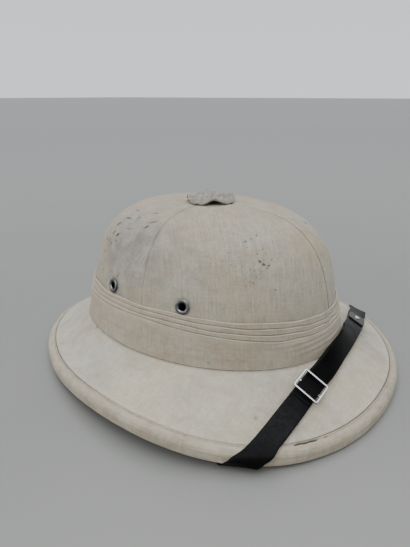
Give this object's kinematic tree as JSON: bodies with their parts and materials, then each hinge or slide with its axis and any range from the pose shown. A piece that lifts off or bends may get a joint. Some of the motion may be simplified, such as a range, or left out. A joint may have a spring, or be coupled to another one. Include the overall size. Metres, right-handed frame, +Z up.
{
  "type": "pith helmet",
  "caption": "Cloth-covered pith sun helmet with a wide brim, a pleated cloth band, eyelets, a top vent cap and a black chin strap with a slide buckle.",
  "frame": {"origin": "middle of the helmet's length and width, on the surface that its brim rests on", "axes": "+X towards the wearer's front, +Y towards the wearer's left, +Z up"},
  "size_m": [0.332, 0.2868, 0.1454],
  "materials": {
    "crown_cloth": "matt woven cotton drill",
    "brim_cloth": "matt woven cotton drill",
    "band_cloth": "matt woven cotton, folded in pleats",
    "pith": "matt pressed pith",
    "leather": "satin black",
    "polished_steel": "polished",
    "dark_nickel": "dark nickel plate"
  },
  "bodies": {
    "root": {"pith_shell": "pith", "crown_panel_right_front": "crown_cloth", "crown_panel_right_back": "crown_cloth", "crown_panel_left_back": "crown_cloth", "crown_panel_left_front": "crown_cloth", "vent_eyelet_right_front": "dark_nickel", "vent_eyelet_right_back": "dark_nickel", "vent_eyelet_left_back": "dark_nickel", "vent_eyelet_left_front": "dark_nickel", "ventilator_cap": "crown_cloth", "brim_cover": "brim_cloth", "brim_binding": "brim_cloth", "pugaree_band": "band_cloth", "pugaree_pleat_lower": "band_cloth", "pugaree_pleat_middle": "band_cloth", "pugaree_pleat_upper": "band_cloth", "chin_strap": "leather", "strap_second_layer": "leather", "strap_end_tab": "leather", "strap_end_rivet": "polished_steel", "slide_buckle": "polished_steel", "strap_anchor_right": "polished_steel", "strap_anchor_left": "polished_steel"}
  },
  "joints": []
}
